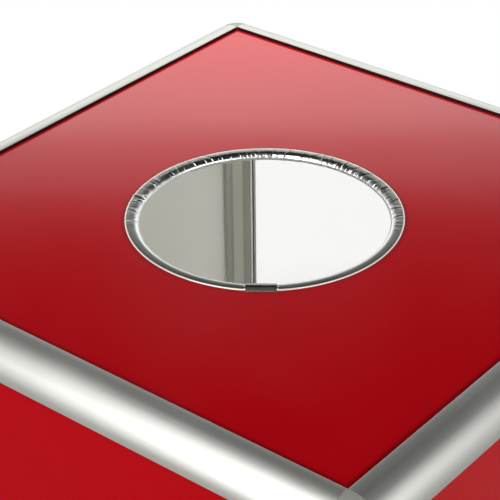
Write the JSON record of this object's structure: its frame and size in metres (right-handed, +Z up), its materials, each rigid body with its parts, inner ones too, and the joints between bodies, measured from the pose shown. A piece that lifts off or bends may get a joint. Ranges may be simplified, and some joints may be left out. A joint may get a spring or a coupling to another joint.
{
  "type": "raffle box",
  "caption": "Cube draw box with rounded aluminium edges, red sheet walls, a clear back with a small locking door, and a round hand hole edged with a bright strip.",
  "frame": {"origin": "on the table under the middle of the box", "axes": "+Z up, front faces -Y, the clear back with its door faces +Y"},
  "size_m": [0.3, 0.3032, 0.3035],
  "materials": {
    "edge_aluminium": "satin anodised extrusion",
    "corner_grey": "moulded, semi-matt",
    "red_panel": "glossy red outside, light grey inside",
    "clear_sheet": "clear polished",
    "bright_trim": "bright bent strip, finely creased",
    "clip_steel": "dull tinned",
    "hinge_steel": "zinc plated",
    "lock_bright": "bright plated",
    "cam_steel": "zinc plated",
    "foot_rubber": "matt black"
  },
  "bodies": {
    "box": {"back_left_foot": "foot_rubber", "back_left_post": "edge_aluminium", "back_panel": "clear_sheet", "back_right_foot": "foot_rubber", "back_right_post": "edge_aluminium", "bottom_back_left_corner": "corner_grey", "bottom_back_rail": "edge_aluminium", "bottom_back_right_corner": "corner_grey", "bottom_front_left_corner": "corner_grey", "bottom_front_rail": "edge_aluminium", "bottom_front_right_corner": "corner_grey", "bottom_left_rail": "edge_aluminium", "bottom_panel": "red_panel", "bottom_right_rail": "edge_aluminium", "front_left_foot": "foot_rubber", "front_left_post": "edge_aluminium", "front_panel": "red_panel", "front_right_foot": "foot_rubber", "front_right_post": "edge_aluminium", "hinge_frame_nuts": "hinge_steel", "hinge_frame_screws": "hinge_steel", "hole_trim": "bright_trim", "left_panel": "red_panel", "lower_door_stop": "clear_sheet", "lower_hinge_frame_leaf": "hinge_steel", "lower_hinge_pin": "hinge_steel", "right_panel": "red_panel", "top_back_left_corner": "corner_grey", "top_back_rail": "edge_aluminium", "top_back_right_corner": "corner_grey", "top_front_left_corner": "corner_grey", "top_front_rail": "edge_aluminium", "top_front_right_corner": "corner_grey", "top_left_rail": "edge_aluminium", "top_panel": "red_panel", "top_right_rail": "edge_aluminium", "trim_clip": "clip_steel", "upper_door_stop": "clear_sheet", "upper_hinge_frame_leaf": "hinge_steel", "upper_hinge_pin": "hinge_steel"},
    "door": {"door_leaf": "clear_sheet", "lower_hinge_door_leaf": "hinge_steel", "upper_hinge_door_leaf": "hinge_steel", "hinge_door_screws": "hinge_steel", "hinge_door_nuts": "hinge_steel", "lock_barrel": "lock_bright", "lock_nut": "lock_bright"},
    "lock": {"lock_plug": "lock_bright", "lock_cam": "cam_steel", "cam_washer": "cam_steel", "cam_screw": "cam_steel"}
  },
  "joints": [
    {"name": "door_swing", "type": "hinge", "parent": "box", "child": "door", "pos_m": [-0.09037, 0.151, 0.0795], "axis": [0, 0, 1], "range_deg": [0, 170]},
    {"name": "lock_turn", "type": "hinge", "parent": "door", "child": "lock", "pos_m": [0.07, 0.1435, 0.0795], "axis": [0, -1, 0], "range_deg": [0, 90]}
  ]
}
